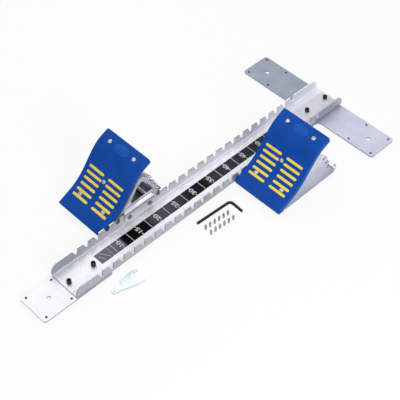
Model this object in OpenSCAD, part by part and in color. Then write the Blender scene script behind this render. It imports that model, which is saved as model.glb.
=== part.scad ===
// Starting blocks: a notched channel rail on spiked plates, with two adjustable foot blocks.
// +X is to the right of the runner, +Y points back along the rail, +Z is up.
// The origin is on the ground under the middle of the part.

/* [Rail] */
// Length of the channel rail
rail_len = 772; // [700:1:860]
// Outer width of the channel
rail_w = 77; // [70:1:90]
// Height of the channel from its underside to the flange tops
rail_h = 28.5; // [26:0.5:34]
// Sheet thickness of the channel
rail_t = 2.5; // [2:0.1:3]
// Outer radius of the two folds along the channel
rail_fold = 6; // [4:0.5:8]
// Radius of the rounded flange ends
flange_round = 20; // [10:0.5:22]
// Distance from the rail's front end to the first notch
notch_start = 52; // [46:0.5:60]
// Distance between notches
notch_pitch = 27.3; // [27:0.1:30]
// Number of notches in each flange
notch_count = 24; // [22:1:24]
// Width of a notch at the flange top
notch_mouth = 13.6; // [12:0.1:15]
// Distance from a notch's front lip to the middle of its round bottom
notch_seat = 9; // [8:0.1:9.4]
// Depth from the flange top to the middle of the round bottom
notch_drop = 11; // [9:0.5:13]
// Radius of the round bottom
notch_r = 4; // [3.5:0.1:4.2]

/* [Scale tape] */
// Width of the stuck-on scale
tape_w = 26.4; // [20:0.2:32]
// Thickness of the tape
tape_t = 0.4; // [0.2:0.1:0.8]
// Distance from the rail's front end to the tape
tape_start = 87; // [84:1:95]
// Length of the tape
tape_len = 523; // [400:1:530]
// Sideways offset of the tape from the rail's middle
tape_shift = -3; // [-6:0.5:6]

/* [Ground plates] */
// Thickness of the two ground plates
plate_t = 3; // [2.5:0.1:4]
// Width of the front plate
front_w = 78; // [74:1:90]
// Length of the front plate
front_len = 170; // [160:1:190]
// How far the front plate reaches ahead of the rail
front_reach = 79; // [70:1:90]
// Width of the rear crossplate
cross_w = 381; // [350:1:420]
// Depth of the rear crossplate
cross_len = 77; // [72:1:90]
// Distance from the crossplate's rear edge to the rail's rear end
cross_inset = 2; // [0:0.5:6]
// Length of the tongue that reaches forward under the rail
tongue_len = 18; // [14:1:24]
// Radius of the plates' outer corners
plate_corner = 7; // [4:0.5:9]
// Radius of the fillets beside the tongue
tongue_fillet = 12; // [6:1:13]
// Radius of the plain holes in the plates
stake_hole_r = 5; // [4:0.5:6]
// Distance of the crossplate's holes from its ends
cross_hole_in = 40.5; // [38:0.5:44]
// Distance from the front plate's front edge to its hole
front_hole_y = 41; // [38:1:44]

/* [Spikes] */
// Side of the square on which four spikes stand
spike_square = 61; // [56:1:63]
// Radius of a spike's threaded shank
spike_r = 2.4; // [2:0.1:2.8]
// Radius of a spike's shoulder
spike_shoulder_r = 4.2; // [3.6:0.1:4.6]
// Height of the shoulder
spike_shoulder_h = 1.8; // [1.2:0.1:2.5]
// Length of the point below the shoulder
spike_point = 3.2; // [2.5:0.1:6]
// How far a shank stands out above its plate
spike_proud = 0.6; // [0:0.1:1.5]
// Overall length of a spare spike
spare_len = 16; // [10:0.5:18]

/* [Rail bolts] */
// Distance from the rail's end to its first bolt
bolt_inset = 12; // [10:0.5:14]
// Distance between the two bolts at one end
bolt_gap = 61; // [58:1:63]
// Radius of a bolt's shank
bolt_r = 3; // [2.5:0.1:3.5]
// Radius of a bolt's head
bolt_head_r = 5; // [4.4:0.1:5.5]
// Height of the front bolts' heads
front_head_h = 8; // [6:0.5:9]
// Height of the rear bolts' heads
rear_head_h = 5.5; // [5:0.5:9]
// Width across the flats of the socket in the head
socket_af = 5; // [4:0.5:6]
// Depth of the socket
socket_depth = 3.5; // [2:0.5:4.5]
// Radius of the round nut under the plate
nut_r = 5.4; // [5:0.1:6]
// Height of the round nut
nut_h = 3.2; // [2.5:0.1:4]

/* [Foot pad] */
// Width of the foot pad
pad_w = 123; // [110:1:130]
// Thickness of the rubber pad
pad_t = 12; // [9:0.5:14]
// Gap between the rail and the pad's inner edge
pad_gap = 3; // [2.5:0.1:6]
// Height of the pad's lower front edge above the ground
pad_low_z = 21.5; // [20:0.5:24]
// Lean of the pad's lowest stretch above level
low_lean = 27; // [24:0.5:30]
// Lean of the pad's middle stretch above level
mid_lean = 53.5; // [50:0.5:57]
// Lean of the pad's top edge above level
high_lean = 24; // [20:0.5:30]
// Length of the straight lowest stretch
low_run = 33; // [30:1:36]
// Radius of the hollow bend above it
low_bend = 115; // [100:1:130]
// Length of the straight middle stretch
mid_run = 43; // [38:1:48]
// Radius of the round bend near the top
high_bend = 85; // [75:1:95]
// Length of the straight stretch at the top
high_run = 14; // [8:1:16]
// Radius of the pad's corners
pad_corner = 4; // [3:0.5:8]

/* [Grip bars] */
// Number of rows of grip bars
bar_rows = 6; // [4:1:6]
// Distance from the pad's lower edge to the lowest row
bar_start = 35.1; // [30:0.1:38]
// Distance between rows
bar_pitch = 13.56; // [12.5:0.02:14.5]
// Length of a grip bar
bar_len = 43; // [38:0.2:46]
// Width of a grip bar
bar_w = 6; // [5:0.1:7]
// Gap between the two columns of bars
bar_split = 13.8; // [13:0.2:18]
// How far a bar stands out of the pad
bar_rise = 1.4; // [0.8:0.1:2.5]
// How deep a bar sits in the pad
bar_sink = 2.2; // [1:0.1:4]
// Radius of the flush washer moulded between two bars round each lower screw
bar_washer_r = 4.8; // [4.5:0.1:6.5]

/* [Pad screws] */
// Radius of a screw's head
screw_head_r = 4.6; // [3.6:0.1:5]
// Radius of the two lower screws' heads
low_head_r = 3.8; // [3.4:0.1:4.6]
// Height of a screw's head
screw_head_h = 2; // [1.5:0.1:3]
// Radius of a screw's shank
screw_r = 2.5; // [2:0.1:2.8]
// Distance of the paired screws from the pad's middle
screw_x = 35; // [30:0.5:40]
// Distance along the pad to the two upper screws
screw_high = 167.3; // [160:0.1:170]
// Distance along the pad to the middle screw
screw_mid = 92.5; // [90:0.1:94]
// Distance along the pad to the two lower screws
screw_low = 41.9; // [41.4:0.1:42.4]
// Width across the flats of a screw's nut
screw_nut_af = 8; // [7:0.5:9]
// Height of a screw's nut
screw_nut_h = 4; // [3:0.5:5]

/* [Pedal plate] */
// Thickness of the steel plate behind the pad
pedal_t = 2.5; // [2:0.1:3.5]
// How far the pad overhangs the steel plate at its sides
pedal_inset = 2.5; // [2:0.1:5]
// How far the pad overhangs the steel plate at its lower end
pedal_low_inset = 10; // [8:0.5:14]
// How far the pad overhangs the steel plate at its upper end
pedal_high_inset = 8; // [5:0.5:9]
// Thickness of the lugs on the pedal plate
lug_t = 3; // [2.5:0.1:4]
// Distance of the tilt pivot behind the pad's lower edge
pivot_back = 22; // [20:0.5:24]
// Height of the tilt pivot above the ground
pivot_z = 8; // [7.8:0.1:9]
// Radius of the tilt pivot's rod
pivot_r = 3; // [2.5:0.1:3.5]
// Radius of the lugs round the tilt pivot
pivot_lug_r = 6.6; // [6:0.1:6.8]
// Distance along the pad to the prop's hinge
hinge_along = 136; // [130:0.5:140]
// Distance of the prop's hinge behind the steel plate
hinge_back = 9; // [8:0.5:11]
// Radius of the prop's hinge pin
hinge_r = 3; // [2.5:0.1:3.5]
// Radius of the lugs round the prop's hinge
hinge_lug_r = 7; // [6:0.1:7.5]

/* [Base frame] */
// Sheet thickness of the base frame
frame_t = 2.5; // [2:0.1:3]
// Distance between the outer faces of the side plates
frame_w = 116; // [108:1:118]
// Height of the frame's underside above the ground
frame_z = 1.2; // [1:0.1:2]
// Steel behind the middle of the prop rod's seat
frame_heel = 12; // [10:0.5:20]
// Radius of the side plates round the tilt pivot
frame_nose = 6.8; // [6:0.1:6.8]
// Gap between the pedal plate and the side plates' sloping edge
frame_gap = 2.5; // [1.5:0.1:4]
// Number of upper adjusting slots
slot_count = 3; // [2:1:3]
// Pedal tilt at the lowest upper slot, in degrees
slot_first = 10.8; // [10.5:0.1:11.5]
// Pedal tilt from one slot to the next, in degrees
slot_step = 8.9; // [8.5:0.1:9.2]
// Lean of an upper slot above level, in degrees
slot_lean = 40; // [35:1:50]
// Steel left outside the slots
slot_lip = 7; // [6.5:0.1:8]
// Height of the round seat for the prop rod above the ground
seat_z = 21.5; // [20:0.5:24]
// Lean of the seat's front wall above level, in degrees
seat_front = 118; // [112:1:122]
// Lean of the seat's rear wall above level, in degrees
seat_rear = 39.5; // [38:0.5:40]
// Length of the seat's rear wall
seat_wall = 8.5; // [6:0.5:10]
// Distance from the pad's lower edge to that seat
seat_back = 178; // [176:0.5:180]
// Distance from the pad's lower edge to the floor plate
floor_start = 46; // [42:1:60]
// Radius of the tie tube between the side plates
tie_r = 4.5; // [3.5:0.1:5]
// Distance from the pad's lower edge to the tie tube
tie_back = 150; // [140:1:156]

/* [Saddle] */
// Gap between the saddle and the rail's flange at each side
saddle_gap = 1; // [0.5:0.1:2]
// Gap between the saddle's top and the flange
saddle_over = 3; // [1:0.1:4]
// Sheet thickness of the saddle
saddle_t = 2.5; // [2:0.1:3]
// How far the saddle reaches past the middle of each pin
saddle_end = 11.5; // [10:0.5:13]
// Height of the saddle's lower edge above the ground
saddle_low = 17; // [15:0.5:18.5]
// Distance from the pad's lower edge to the front pin
pin_back = 76.3; // [74:0.1:78]
// Notches from the front pin to the rear pin
pin_span = 2; // [1:1:2]
// Thickness of a pin's heads
pin_head_t = 1.8; // [1:0.1:2.5]
// Radius of a pin's heads
pin_head_r = 5.2; // [4.8:0.1:6]

/* [Prop] */
// Radius of the rod that sits in the slots
rod_r = 4; // [3.5:0.1:4.2]
// How far the rod stands out beyond the outer side plate
rod_out = 7; // [4:0.5:9]
// Sheet thickness of the prop
prop_t = 2.5; // [2:0.1:3]
// Distance of the prop's flanges from the side plates
prop_inset = 42; // [36:0.5:46]
// Radius of the prop's eye round its hinge pin
prop_eye_r = 7; // [6:0.1:7.5]
// Radius of the prop's eye round its rod
prop_foot_r = 6.5; // [6:0.1:7]
// Thickness of the collars on the rod
collar_t = 3; // [2:0.5:4]
// Radius of the collars on the rod
collar_r = 6.2; // [5.5:0.1:6.6]

/* [Blocks on the rail] */
// Notch that holds the left block's front pin
left_notch = 6; // [4:1:8]
// Notch that holds the right block's front pin
right_notch = 17; // [14:1:18]

/* [Hex key] */
// Width across the flats of the hex key
key_af = 6; // [4:0.5:6]
// Length of the key's long arm
key_long = 94; // [80:1:95]
// Length of the key's short arm
key_short = 38; // [28:1:40]
// Radius of the key's bend along its middle
key_bend = 8; // [6:0.5:10]
// Place of the key's bend on the ground, from the middle of the part
key_at = [65, 41];

/* [Spanner] */
// Thickness of the flat spanner
spanner_t = 2.5; // [2:0.1:4]
// Overall length of the spanner
spanner_len = 72; // [66:1:78]
// Radius of the spanner's small end
spanner_end_r = 5.5; // [4.5:0.1:6.5]
// Radius of the hole in the small end
spanner_hole_r = 1.6; // [1:0.1:2.5]
// Length of the narrow arm
spanner_arm = 22; // [18:1:26]
// Width of the body where the arm starts
spanner_neck_w = 22; // [18:1:26]
// Width of the spanner across its jaws
spanner_w = 34; // [30:1:38]
// Width between the jaws
jaw_af = 20.5; // [16:0.5:22]
// Depth of the jaw opening
jaw_depth = 13.5; // [10:0.5:16]
// Place of the spanner's small end on the ground
spanner_at = [70, -283];

/* [Spare spikes] */
// Number of spare spikes in a row
spare_count = 6; // [4:1:6]
// Distance between spare spikes in a row
spare_pitch = 12; // [10:0.5:14]
// Distance between the two rows
spare_row_gap = 16.5; // [14:0.5:20]
// Place of the first spare spike
spare_at = [80.7, -46.6];

/* [Hidden] */
$fn = 48;

// Cutters reach this far past the faces they cut
over = 1;
// Radial play of a part that turns or slides on another
running = 0.05;
// Radial play of a part that is fixed in another
fixed_play = 0.02;
// Steps in which a bend of the pad is drawn
bend_steps = 8;

// Heights that stack up from the ground
plate_z = spike_point + spike_shoulder_h;
rail_z = plate_z + plate_t;
web_z = rail_z + rail_t;
flange_z = rail_z + rail_h;

// Lengths along the rail
total_len = front_reach + rail_len;
front_y = -total_len / 2;
rail_front = front_y + front_reach;
rail_rear = rail_front + rail_len;
cross_y = rail_rear - cross_inset - cross_len;
cross_mid = cross_y + cross_len / 2;
cross_hole_x = cross_w / 2 - cross_hole_in;
front_bolt_y = [rail_front + bolt_inset, rail_front + bolt_inset + bolt_gap];
rear_bolt_y = [rail_rear - bolt_inset - bolt_gap, rail_rear - bolt_inset];
function notch_y(i) = rail_front + notch_start + (i - 1) * notch_pitch + notch_seat;

// Distances out from the middle of the rail
flange_in = rail_w / 2 - rail_t;
flange_out = rail_w / 2;
pad_in = flange_out + pad_gap;
pad_mid = pad_in + pad_w / 2;
pad_out = pad_in + pad_w;
saddle_in = flange_in - saddle_gap - saddle_t;
saddle_out = flange_out + saddle_gap;
saddle_top = flange_z + saddle_over + saddle_t;
side_in = saddle_out + saddle_t;
side_out = side_in + frame_w;
inner_gap_in = side_in + frame_t;
outer_gap_in = side_out - frame_t;
pedal_in = pad_in + pedal_inset;
pedal_out = pad_out - pedal_inset;

// Shape of the pad's face: distance s runs up the face from its lower edge
s_low = low_run;
s_mid = s_low + low_bend * (mid_lean - low_lean) * PI / 180;
s_high = s_mid + mid_run;
s_top = s_high + high_bend * (mid_lean - high_lean) * PI / 180;
pad_len = s_top + high_run;
function lean(s) =
    s <= s_low ? low_lean :
    s <= s_mid ? low_lean + (s - s_low) / low_bend * 180 / PI :
    s <= s_high ? mid_lean :
    s <= s_top ? mid_lean - (s - s_high) / high_bend * 180 / PI : high_lean;
function along(a) = [cos(a), sin(a)];
function inward(a) = [sin(a), -cos(a)];
face_low = low_run * along(low_lean);
face_mid = face_low + low_bend * (inward(mid_lean) - inward(low_lean));
face_high = face_mid + mid_run * along(mid_lean);
face_top = face_high - high_bend * (inward(high_lean) - inward(mid_lean));
function face(s) = [0, pad_low_z] + (
    s <= s_low ? s * along(low_lean) :
    s <= s_mid ? face_low + low_bend * (inward(lean(s)) - inward(low_lean)) :
    s <= s_high ? face_mid + (s - s_mid) * along(mid_lean) :
    s <= s_top ? face_high - high_bend * (inward(lean(s)) - inward(mid_lean)) :
    face_top + (s - s_top) * along(high_lean));
function skin(s, depth) = face(s) + depth * inward(lean(s));
bend_stations = concat(
    [for (i = [0 : bend_steps]) s_low + (s_mid - s_low) * i / bend_steps],
    [for (i = [0 : bend_steps]) s_high + (s_top - s_high) * i / bend_steps]
);
function stations(from, to) =
    concat([from], [for (s = bend_stations) if (s > from + 1 && s < to - 1) s], [to]);

// Pivots and slots of a block, as distances back from the pad and heights
pivot = [pivot_back, pivot_z];
hinge_depth = pad_t + pedal_t + hinge_back;
hinge = skin(hinge_along, hinge_depth);
seat = [seat_back, seat_z];
frame_len = seat_back + frame_heel;
prop_len = norm(seat - hinge);
prop_angle = atan2(seat[1] - hinge[1], seat[0] - hinge[0]);
function turned(p, centre, a) = centre + [
    (p[0] - centre[0]) * cos(a) - (p[1] - centre[1]) * sin(a),
    (p[0] - centre[0]) * sin(a) + (p[1] - centre[1]) * cos(a)
];
// The prop swings in by this much to drop into an upper slot
swing_first = 9.5;
swing_more = 1.6;
function slot(k) =
    turned(turned(seat, hinge, -swing_first - swing_more * k), pivot, slot_first + slot_step * (k - 1));
function tangent(centre, r, q, turn) =
    centre + r * along(atan2(q[1] - centre[1], q[0] - centre[0]) + turn * acos(r / norm(q - centre)));
// Turn round the seat from its rear wall's lean to where that wall starts
seat_hook = 97;
// Lean of the lip beside each slot
slot_lip_lean = 35;
seat_r = rod_r + 0.1;
slot_r = rod_r + 0.3;

// Draws a side view and gives it a width from one distance out to another
module across(from, to) {
    translate([from, 0, 0]) rotate([90, 0, 90]) linear_extrude(to - from) children();
}

// A round bar across a block
module bar_across(from, to, at, r) {
    across(from, to) translate(at) circle(r);
}

// Sets its children on the pad's face, looking out of it
module on_face(s, x) {
    translate([x, face(s)[0], face(s)[1]]) rotate([lean(s), 0, 0]) children();
}

// Puts a block on its notch at one side of the rail
module place_block(side) {
    notch = side < 0 ? left_notch : right_notch;
    translate([0, notch_y(notch) - pin_back, 0]) mirror([side < 0 ? 1 : 0, 0, 0]) children();
}

// Rail

module channel_section() {
    difference() {
        union() {
            translate([-flange_out, rail_fold]) square([rail_w, rail_h - rail_fold]);
            translate([-flange_out + rail_fold, 0]) square([rail_w - 2 * rail_fold, rail_fold + over]);
            for (x = [-1, 1]) translate([x * (flange_out - rail_fold), rail_fold]) circle(rail_fold);
        }
        fold_in = rail_fold - rail_t;
        translate([-flange_in, rail_fold]) square([2 * flange_in, rail_h]);
        translate([-flange_in + fold_in, rail_t]) square([2 * (flange_in - fold_in), rail_h]);
        for (x = [-1, 1]) translate([x * (flange_out - rail_fold), rail_fold]) circle(fold_in);
    }
}

module notch_cut() {
    across(-rail_w, rail_w) {
        translate([notch_seat, -notch_drop]) circle(notch_r);
        polygon([
            [-over * notch_seat / notch_drop / 2, over], [0, 0],
            [notch_seat - notch_r, -notch_drop], [notch_seat + notch_r, -notch_drop],
            [notch_mouth, 0], [notch_mouth, over]
        ]);
    }
}

module flange_end_cut() {
    across(-rail_w, rail_w) difference() {
        translate([-over, 0]) square([flange_round + over, flange_round + over]);
        translate([flange_round, 0]) circle(flange_round);
    }
}

module rail() {
    color("lightsteelblue") difference() {
        translate([0, rail_rear, rail_z]) rotate([90, 0, 0]) linear_extrude(rail_len) channel_section();
        for (i = [0 : notch_count - 1])
            translate([0, rail_front + notch_start + i * notch_pitch, flange_z]) notch_cut();
        translate([0, rail_front, flange_z - flange_round]) flange_end_cut();
        translate([0, rail_rear, flange_z - flange_round]) mirror([0, 1, 0]) flange_end_cut();
        for (y = concat(front_bolt_y, rear_bolt_y))
            translate([0, y, rail_z - over]) cylinder(h = rail_t + 2 * over, r = bolt_r + fixed_play);
    }
}

module scale_tape() {
    color("darkslategray")
        translate([tape_shift - tape_w / 2, rail_front + tape_start, web_z])
            cube([tape_w, tape_len, tape_t]);
}

// Ground plates

module rounded_plate(w, len, r) {
    translate([-w / 2 + r, 0]) square([w - 2 * r, len]);
    translate([-w / 2, r]) square([w, len - 2 * r]);
    for (x = [-1, 1], y = [r, len - r]) translate([x * (w / 2 - r), y]) circle(r);
}

module spike_places(x, y) {
    for (dx = [-1, 1], dy = [-1, 1])
        translate([x + dx * spike_square / 2, y + dy * spike_square / 2]) children();
}

module front_plate() {
    color("ghostwhite") translate([0, 0, plate_z]) linear_extrude(plate_t) difference() {
        translate([0, front_y]) rounded_plate(front_w, front_len, plate_corner);
        translate([0, front_y + front_hole_y]) circle(stake_hole_r);
        spike_places(0, front_y + front_hole_y) circle(spike_r + fixed_play);
        for (y = front_bolt_y) translate([0, y]) circle(bolt_r + fixed_play);
    }
}

module tongue() {
    half = front_w / 2;
    difference() {
        translate([-half - tongue_fillet, -tongue_len])
            square([2 * (half + tongue_fillet), tongue_len + over]);
        for (x = [-1, 1]) {
            translate([x * (half + tongue_fillet), -tongue_fillet]) circle(tongue_fillet);
            translate([x * (half + tongue_fillet / 2 + over / 2), -tongue_len - over])
                square([tongue_fillet + over, 2 * (tongue_len + over - tongue_fillet)], center = true);
        }
    }
}

module rear_crossplate() {
    color("lightsteelblue") translate([0, 0, plate_z]) linear_extrude(plate_t) difference() {
        translate([0, cross_y]) {
            rounded_plate(cross_w, cross_len, plate_corner);
            tongue();
        }
        for (x = [-1, 1]) {
            translate([x * cross_hole_x, cross_mid]) circle(stake_hole_r);
            spike_places(x * cross_hole_x, cross_mid) circle(spike_r + fixed_play);
        }
        for (y = rear_bolt_y) translate([0, y]) circle(bolt_r + fixed_play);
    }
}

// Bolts, nuts and spikes

bolt_end_z = plate_z - nut_h;
function flats_r(af) = af / 2 / cos(30);

module socket_bolt(y, head_h) {
    translate([0, y, 0]) difference() {
        union() {
            translate([0, 0, web_z]) cylinder(h = head_h, r = bolt_head_r);
            translate([0, 0, bolt_end_z]) cylinder(h = web_z - bolt_end_z + over, r = bolt_r);
        }
        translate([0, 0, web_z + head_h - socket_depth])
            cylinder(h = socket_depth + over, r = flats_r(socket_af), $fn = 6);
    }
}

module round_nut(y) {
    translate([0, y, bolt_end_z]) difference() {
        cylinder(h = nut_h, r = nut_r);
        translate([0, 0, -over]) cylinder(h = nut_h + 2 * over, r = bolt_r + fixed_play);
    }
}

module front_bolts() {
    color("black") for (y = front_bolt_y) socket_bolt(y, front_head_h);
}

module rear_bolts() {
    color("black") for (y = rear_bolt_y) socket_bolt(y, rear_head_h);
}

module front_nuts() {
    color("silver") for (y = front_bolt_y) round_nut(y);
}

module rear_nuts() {
    color("silver") for (y = rear_bolt_y) round_nut(y);
}

// A spike as it stands on its point, with its shank upwards
module spike(point, shank) {
    cylinder(h = point, r1 = 0.5, r2 = spike_r);
    translate([0, 0, point]) cylinder(h = spike_shoulder_h, r = spike_shoulder_r);
    translate([0, 0, point]) cylinder(h = spike_shoulder_h + shank, r = spike_r);
}

module front_spikes() {
    color("dimgray") spike_places(0, front_y + front_hole_y) spike(spike_point, plate_t + spike_proud);
}

module rear_spikes() {
    color("dimgray") for (x = [-1, 1])
        spike_places(x * cross_hole_x, cross_mid) spike(spike_point, plate_t + spike_proud);
}

// Tools and spares that lie beside the rail

module spare_spike() {
    shank = spare_len / 2 - spike_shoulder_h / 2;
    cylinder(h = shank + spike_shoulder_h, r = spike_r);
    translate([0, 0, shank]) cylinder(h = spike_shoulder_h, r = spike_r + 0.6);
    translate([0, 0, shank + spike_shoulder_h]) cylinder(h = shank, r1 = spike_r, r2 = 0.5);
}

module spare_spikes() {
    color("rosybrown") translate([spare_at[0], spare_at[1], 0]) rotate([0, 0, -4])
        for (row = [0, 1], i = [0 : spare_count - 1])
            translate([row * spare_row_gap, i * spare_pitch, 0]) spare_spike();
}

module hex_bar(len) {
    rotate([90, 0, 0]) linear_extrude(len) circle(flats_r(key_af), $fn = 6);
}

module hex_key() {
    straight_long = key_long - key_bend - key_af / 2;
    straight_short = key_short - key_bend - key_af / 2;
    color("black") translate([key_at[0], key_at[1], key_af / 2]) rotate([0, 0, -3])
        translate([key_bend, -key_bend, 0]) mirror([1, 0, 0]) {
            intersection() {
                rotate_extrude() translate([key_bend, 0]) circle(flats_r(key_af), $fn = 6);
                translate([0, 0, -key_af]) cube([2 * key_bend, 2 * key_bend, 2 * key_af]);
            }
            translate([key_bend, 0, 0]) hex_bar(straight_long);
            translate([-straight_short, key_bend, 0]) rotate([0, 0, 90]) hex_bar(straight_short);
        }
}

module flat_spanner() {
    tip = spanner_len - spanner_end_r;
    throat = tip - jaw_depth;
    half = spanner_w / 2;
    neck = spanner_neck_w / 2;
    jaw = jaw_af / 2;
    color("aliceblue") translate([spanner_at[0], spanner_at[1], 0]) rotate([0, 0, -3.7])
        linear_extrude(spanner_t) difference() {
            union() {
                circle(spanner_end_r);
                polygon([
                    [spanner_end_r, 0], [0.68 * neck, spanner_arm - 7], [1.05 * neck, spanner_arm + 6],
                    [0.84 * half, throat - 13], [half, throat - 1], [0.96 * half, tip - 3.5],
                    [0.8 * half, tip], [jaw, tip], [jaw, throat + 2.5], [0.65 * jaw, throat],
                    [-0.65 * jaw, throat], [-jaw, throat + 2.5], [-jaw, tip], [-0.8 * half, tip],
                    [-0.98 * half, tip - 3.5], [-half, throat - 1], [-0.96 * half, throat - 9],
                    [-0.87 * half, throat - 20], [-neck, spanner_arm], [-0.2 * neck, spanner_arm + 0.5],
                    [-spanner_end_r, 0]
                ]);
            }
            circle(spanner_hole_r);
        }
}

// Base frame of a block

module side_outline() {
    depth = pad_t + pedal_t + frame_gap;
    slope = skin(low_run - 4, depth);
    crest = skin(hinge_along, depth) + [9.5, 1.5];
    lip = slot(1) + [7.7, -4.5];
    rear_wall = seat + seat_r * along(seat_rear - seat_hook);
    difference() {
        polygon(concat(
            [[pivot[0] + 2, frame_z], pivot, tangent(pivot, 0.9 * frame_nose, slope, 1)],
            [for (s = stations(low_run - 4, hinge_along)) skin(s, depth)],
            [crest],
            [for (k = [slot_count : -1 : 1]) slot(k) + slot_lip * along(slot_lip_lean)],
            [lip, seat + 0.9 * seat_r * along(seat_front + 90), seat, rear_wall],
            [rear_wall + seat_wall * along(seat_rear), [frame_len, seat_z - 5]],
            [[frame_len, frame_z + 6], [frame_len - 6, frame_z]]
        ));
        translate(seat) circle(seat_r);
        for (k = [1 : slot_count]) translate(slot(k)) {
            circle(slot_r);
            rotate(slot_lean) translate([0, -slot_r]) square([3 * slot_r, 2 * slot_r]);
        }
    }
}

module side_window() {
    sill = saddle_top + 2;
    polygon([
        [pin_back + 14, sill], [slot(1)[0] - 9, sill], slot(2) + [-11, 8],
        hinge + [3, -4], hinge + [-11, -14], [pin_back + 14, sill + 11]
    ]);
}

module pin_holes(from, to, r) {
    for (i = [0, 1])
        bar_across(from - over, to + over, [pin_back + i * pin_span * notch_pitch, flange_z - notch_drop], r);
}

module inner_side(side) {
    color("gainsboro") place_block(side) difference() {
        union() {
            across(side_in, inner_gap_in) side_outline();
            bar_across(side_in, inner_gap_in, pivot, frame_nose);
        }
        across(side_in - over, inner_gap_in + over) side_window();
        bar_across(side_in - over, inner_gap_in + over, pivot, pivot_r + fixed_play);
        pin_holes(side_in, inner_gap_in, pin_r + fixed_play);
    }
}

module outer_side(side) {
    color("lavender") place_block(side) difference() {
        union() {
            across(outer_gap_in, side_out) side_outline();
            bar_across(outer_gap_in, side_out, pivot, frame_nose);
        }
        bar_across(outer_gap_in - over, side_out + over, pivot, pivot_r + fixed_play);
    }
}

module floor_plate(side) {
    color("gainsboro") place_block(side)
        translate([inner_gap_in, floor_start, frame_z])
            cube([outer_gap_in - inner_gap_in, frame_len - 8 - floor_start, frame_t]);
}

module tie_tube(side) {
    at = [tie_back, frame_z + frame_t + tie_r];
    color("gainsboro") place_block(side) difference() {
        bar_across(inner_gap_in, outer_gap_in, at, tie_r);
        bar_across(inner_gap_in - over, outer_gap_in + over, at, tie_r - 1.5);
    }
}

// Saddle and pins that hold a block on the rail

pin_r = notch_r - running;
pin_end = pin_back + pin_span * notch_pitch;

module saddle(side) {
    fold = saddle_t;
    length = pin_end - pin_back + 2 * saddle_end;
    color("white") place_block(side) difference() {
        translate([0, pin_back - saddle_end, 0]) difference() {
            union() {
                translate([saddle_in, 0, saddle_low])
                    cube([side_in - saddle_in, length, saddle_top - fold - saddle_low]);
                translate([saddle_in + fold, 0, saddle_top - fold - over])
                    cube([side_in - saddle_in - 2 * fold, length, fold + over]);
                for (x = [saddle_in + fold, side_in - fold])
                    translate([x, 0, saddle_top - fold]) rotate([-90, 0, 0]) cylinder(h = length, r = fold);
            }
            translate([saddle_in + saddle_t, -over, saddle_low - over])
                cube([saddle_out - saddle_in - saddle_t, length + 2 * over, saddle_top - saddle_t - saddle_low + over]);
        }
        pin_holes(saddle_in, side_in, pin_r + fixed_play);
    }
}

module notch_pins(side) {
    color("slategray") place_block(side)
        for (i = [0, 1]) {
            at = [pin_back + i * pin_span * notch_pitch, flange_z - notch_drop];
            bar_across(saddle_in - pin_head_t, inner_gap_in + pin_head_t, at, pin_r);
            bar_across(saddle_in - pin_head_t, saddle_in, at, pin_head_r);
            bar_across(inner_gap_in, inner_gap_in + pin_head_t, at, pin_head_r);
        }
}

// Tilt pivot of a block

pivot_head_t = 1.6;
pivot_head_r = 5;

module pivot_rod(side) {
    color("silver") place_block(side) {
        bar_across(side_in - pivot_head_t, side_out + pivot_head_t + 2, pivot, pivot_r);
        bar_across(side_in - pivot_head_t, side_in, pivot, pivot_head_r);
    }
}

module pivot_nut(side) {
    color("silver") place_block(side) difference() {
        bar_across(side_out, side_out + pivot_head_t + 1.4, pivot, pivot_head_r);
        bar_across(side_out - over, side_out + pivot_head_t + 1.4 + over, pivot, pivot_r + fixed_play);
    }
}

// Pedal of a block

module slab(from, to, near, far) {
    line = stations(from, to);
    last = len(line) - 1;
    polygon(concat(
        [for (s = line) skin(s, near)],
        [for (i = [0 : last]) skin(line[last - i], far)]
    ));
}

module lug(centre, r, from, to) {
    low = skin(from, pad_t + pedal_t / 2);
    high = skin(to, pad_t + pedal_t / 2);
    translate(centre) circle(r);
    polygon([low, tangent(centre, r, low, 1), centre, tangent(centre, r, high, -1), high]);
}

lug_in = 3;
lug_out = 9;
lug_play = 1;
pivot_lug_x = [pedal_in + lug_in, pedal_out - lug_out - lug_t];
prop_in = inner_gap_in + prop_inset;
prop_out = outer_gap_in - prop_inset;
hinge_lug_x = [prop_in - lug_play - lug_t, prop_out + lug_play];
screw_spots = [
    [-screw_x, screw_high], [screw_x, screw_high], [0, screw_mid],
    [-screw_x, screw_low], [screw_x, screw_low]
];

module pedal_plate(side) {
    color("silver") place_block(side) difference() {
        union() {
            across(pedal_in, pedal_out)
                slab(pedal_low_inset, pad_len - pedal_high_inset, pad_t, pad_t + pedal_t);
            for (x = pivot_lug_x)
                across(x, x + lug_t) lug(pivot, pivot_lug_r, pedal_low_inset + 1, low_run + 7);
            for (x = hinge_lug_x)
                across(x, x + lug_t) lug(hinge, hinge_lug_r, hinge_along - 15, hinge_along + 15);
        }
        bar_across(pedal_in, pedal_out, pivot, pivot_r + running);
        bar_across(pedal_in, pedal_out, hinge, hinge_r + fixed_play);
        for (p = screw_spots) on_face(p[1], pad_mid + p[0]) translate([0, 0, -pad_t - pedal_t - 2 * over]) {
            cylinder(h = pedal_t + 3 * over, r = screw_r + fixed_play);
            cylinder(h = 2 * over, r = flats_r(screw_nut_af) + 4 * running);
        }
    }
}

module bar_shape(grow, low, high) {
    r = bar_w / 2 + grow;
    run = bar_len / 2 - bar_w / 2;
    translate([0, 0, low]) {
        for (x = [-run, run]) translate([x, 0, 0]) cylinder(h = high - low, r = r);
        translate([-run, -r, 0]) cube([2 * run, 2 * r, high - low]);
    }
}

module each_bar() {
    for (x = [-1, 1], row = [0 : bar_rows - 1])
        on_face(bar_start + row * bar_pitch, pad_mid + x * (bar_split + bar_len) / 2) children();
}

module each_washer() {
    for (x = [-1, 1]) on_face(screw_low, pad_mid + x * screw_x) children();
}

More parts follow.
